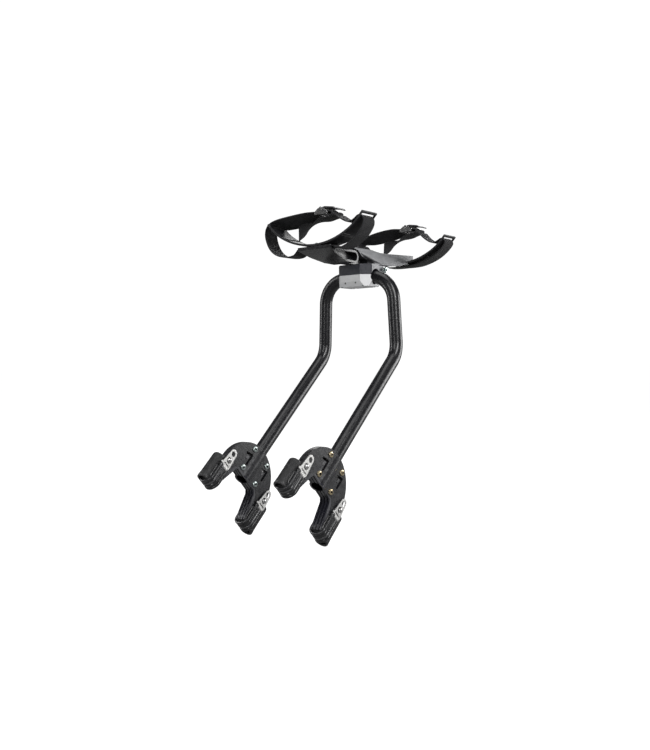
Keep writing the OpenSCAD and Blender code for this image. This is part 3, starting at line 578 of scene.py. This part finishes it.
# ------------------------------------------------------------------ webbing
def spline(pts, per=8):
    out = []
    for i in range(len(pts) - 1):
        p0, p1, p2, p3 = pts[max(i - 1, 0)], pts[i], pts[i + 1], pts[min(i + 2, len(pts) - 1)]
        for k in range(per):
            t = k / per
            out.append(tuple(0.5 * (2 * b + (c - a) * t + (2 * a - 5 * b + 4 * c - d) * t * t + (3 * b - a - 3 * c + d) * t ** 3) for a, b, c, d in zip(p0, p1, p2, p3)))
    out.append(tuple(pts[-1]))
    return out

def ribbon(name, ctrl, yc, node, half=18.0, th=2.0):
    """ctrl: (x, z, twist in degrees, y shift). The strap runs along X and Z; twist turns it about its own line."""
    pts = spline(ctrl)
    v, f, uv = [], [], []
    dist = 0
    cs = [(-half, 0), (-half + 0.25, 0.72), (-half + 0.9, 1.0)] + [(-half + 0.9 + (2 * half - 1.8) * k / 10, 1.0) for k in range(1, 10)] + [(half - 0.9, 1.0), (half - 0.25, 0.72), (half, 0)]
    cs = cs + [(a, -b) for a, b in reversed(cs[1:-1])]
    nc = len(cs)
    for i, (x, z, tw, dy) in enumerate(pts):
        a, b = pts[max(i - 1, 0)], pts[min(i + 1, len(pts) - 1)]
        t = Vector((b[0] - a[0], 0, b[1] - a[1])).normalized()
        n = Vector((-t.z, 0, t.x))
        tw = math.radians(tw)
        wd = Vector((0, 1, 0)) * math.cos(tw) + n * math.sin(tw)
        nn = n * math.cos(tw) - Vector((0, 1, 0)) * math.sin(tw)
        if i:
            dist += math.hypot(x - pts[i - 1][0], z - pts[i - 1][1])
        for s, h in cs:
            p = hd(x, yc + dy, z) + wd * s + nn * (h * th / 2)
            v.append(p)
            uv.append((dist, s))
    for i in range(len(pts) - 1):
        for k in range(nc):
            j = (k + 1) % nc
            f.append((i * nc + k, i * nc + j, (i + 1) * nc + j, (i + 1) * nc + k))
    f.append(tuple(range(nc)))
    f.append(tuple((len(pts) - 1) * nc + k for k in range(nc)))
    return put(name, v, f, "webbing", "head", [node], uv=uv, sharp=60)

FRONT = [(-52, 80, 66, 0), (-36, 86, 58, 0), (-20, 91.5, 36, 0), (8, 98.6, 0, 0), (26, 101, 0, 0), (36, 103.2, 0, 0), (39.6, 107, 0, 0), (36, 110.4, 0, 0), (26, 111, 0, 0), (4, 111, 4, 0),
         (-22, 107.4, 22, 0), (-55, 103.5, 33, 0), (-88, 101.5, 30, 0), (-106, 100.5, 18, 0), (-116, 97, 6, 0), (-121.5, 89, 0, 0), (-121.5, 77, 0, 0), (-115, 60, 0, 0), (-104, 47, 0, 0),
         (-88, 39, 0, 0), (-68, 36, 0, 0), (-53, 37.5, 0, 0), (-46, 42.5, 0, 0), (-39.5, 47.6, 0, 0), (-20, 48, 0, 0), (20, 48, 0, 0), (39.5, 47.6, 0, 0), (45, 44.8, 0, 0), (50, 42.8, 0, 0), (58, 43, 0, 0), (72, 48, 0, 0),
         (84, 55, 0, 0), (94, 62, 0, 0), (103, 72, 0, 0), (108, 81, 0, 0), (108, 89.5, 0, 0), (103, 95.2, 0, 0), (96.5, 95.8, 0, 0), (88, 90.5, 0, 0), (78, 86.5, 0, 0), (68, 89, 0, 0), (56, 96, 0, 0), (45.5, 103, 0, 0)]
REAR = [(-52, 76, 60, 0), (-34, 82, 50, 0), (-20, 87, 30, 0), (8, 96.6, 0, 0), (26, 101, 0, 0), (36, 103.2, 0, 0), (39.6, 107, 0, 0), (36, 110.4, 0, 0), (26, 111, 0, 0), (4, 111, 6, 0),
        (-22, 107.5, 28, 0), (-55, 103.5, 34, 0), (-84, 99.5, 26, 0), (-103, 97, 12, 0), (-112, 93.5, 2, 0), (-115, 85, 0, 0), (-105, 71, 0, 0), (-93.5, 57.5, 0, 0), (-80, 49.5, 0, 0),
        (-62, 42, 0, 0), (-40, 36, 0, 0), (-22, 34.2, 0, 0), (0, 34.1, 0, 0), (22, 34.2, 0, 0), (40, 36, 0, 0), (62, 42, 0, 0), (80, 50, 0, 0), (94, 59.5, 0, 0), (103.5, 68.5, 0, 0),
        (107.8, 76, 0, 0), (103, 83.3, 0, 0), (97, 84, 0, 0), (88, 79.5, 0, 0), (78, 78, 0, 0), (68, 82, 0, 0), (56, 91, 0, 0), (46, 102, 0, 0)]
YF, YR = -142 + 23, 150 + 23
ribbon("front_webbing", FRONT, YF, "front_strap")
ribbon("rear_webbing", REAR, YR, "rear_strap")

# rows of stitches that close each strap's loop round the buckle frame
def stitches(name, x0, z0, x1, z1, yc):
    v, f = [], []
    d = Vector((x1 - x0, 0, z1 - z0))
    L = d.length
    d.normalize()
    n = Vector((-d.z, 0, d.x))
    if n.z < 0:
        n = -n
    for row in (-13, -6.5, 6.5, 13):
        k = 0.0
        while k + 2.2 < L:
            a = hd(x0, yc + row, z0) + d * k + n * 1.12
            pv, pf = lathe(a, d, [(0, 0), (0.28, 0.15), (0.36, 0.7), (0.36, 1.5), (0.28, 2.05), (0, 2.2)], 8)
            f += [tuple(q + len(v) for q in face) for face in pf]
            v += pv
            k += 3.3
    return put(name, v, f, "thread", "head")

stitches("front_stitching", 60, 93.6, 72, 88.2, YF)
stitches("rear_stitching", 59, 88.6, 70, 81.4, YR)

# ------------------------------------------------------------------ any CAD node still showing gets its own finish
for n, o in NODES.items():
    if not o.hide_render:
        o.data.materials.clear()
        o.data.materials.append(M[SLOT[n] if SLOT.get(n) in M else "zinc_steel"])

# ------------------------------------------------------------------ studio
vis_lo, vis_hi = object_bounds()
floor_z = min(vis_lo.z, cad_lo.z) - 0.004
fm = bpy.data.meshes.new("floor")
fm.from_pydata([(-30, -30, floor_z), (30, -30, floor_z), (30, 30, floor_z), (-30, 30, floor_z)], [], [(0, 1, 2, 3)])
floor = bpy.data.objects.new("floor", fm)
bpy.context.scene.collection.objects.link(floor)
fmat, nt, p = base("pale_floor")
p.inputs["Base Color"].default_value = (0.3, 0.3, 0.3, 1)
p.inputs["Roughness"].default_value = 0.95
p.inputs["Specular IOR Level"].default_value = 0.1
p.inputs["Emission Color"].default_value = (1, 1, 1, 1)
flp = nd(nt, "ShaderNodeLightPath")
nt.links.new(math2(nt, "MULTIPLY", flp.outputs["Is Camera Ray"], 0.98), p.inputs["Emission Strength"])
fm.materials.append(fmat)

world = bpy.data.worlds.new("studio")
world.use_nodes = True
bpy.context.scene.world = world
wt = world.node_tree
bg = wt.nodes["Background"]
lp = nd(wt, "ShaderNodeLightPath")
mx = nd(wt, "ShaderNodeMix", data_type="FLOAT")
mx.inputs[2].default_value = 0.08
mx.inputs[3].default_value = 1.05
wt.links.new(lp.outputs["Is Camera Ray"], mx.inputs[0])
wt.links.new(mx.outputs[0], bg.inputs["Strength"])
bg.inputs["Color"].default_value = (1, 1, 1, 1)

az, el, roll = math.radians(37.53), math.radians(1.122), math.radians(-1.143)
back = Vector((math.sin(az) * math.cos(el), -math.cos(az) * math.cos(el), math.sin(el)))
right = Vector((math.cos(az), math.sin(az), 0))
up = back.cross(right)
right2 = right * math.cos(roll) + up * math.sin(roll)
up2 = -right * math.sin(roll) + up * math.cos(roll)
cam = bpy.data.cameras.new("camera")
cam.lens, cam.sensor_width = 39.72, 36.0
cam.clip_start, cam.clip_end = 0.01, 100
co = bpy.data.objects.new("camera", cam)
bpy.context.scene.collection.objects.link(co)
co.matrix_world = Matrix(((right2.x, up2.x, back.x, 0.9432), (right2.y, up2.y, back.y, -1.0633), (right2.z, up2.z, back.z, 0.2352), (0, 0, 0, 1)))
bpy.context.scene.camera = co

def area(name, loc, target, sx, sy, power, col=(1, 1, 1)):
    l = bpy.data.lights.new(name, "AREA")
    l.shape = "RECTANGLE"
    l.size, l.size_y, l.energy, l.color = sx, sy, power, col
    o = bpy.data.objects.new(name, l)
    bpy.context.scene.collection.objects.link(o)
    o.location = loc
    o.rotation_euler = (Vector(target) - Vector(loc)).to_track_quat("-Z", "Y").to_euler()

mid = (0, 0.2, 0.25)
area("key", (1.7, -0.5, 1.3), mid, 0.45, 1.7, 26)
area("sheen", (1.25, 1.75, 0.45), mid, 1.0, 0.9, 17)
area("front", (0.3, -2.0, 1.2), mid, 0.4, 1.7, 14)
area("left", (-1.6, -0.6, 0.7), mid, 0.35, 1.7, 10)
area("rim", (-0.8, 1.8, 1.2), mid, 1.2, 1.0, 16)
area("top", (0.0, 0.1, 2.0), mid, 1.2, 1.2, 8)

bpy.context.scene.view_settings.view_transform = "Standard"
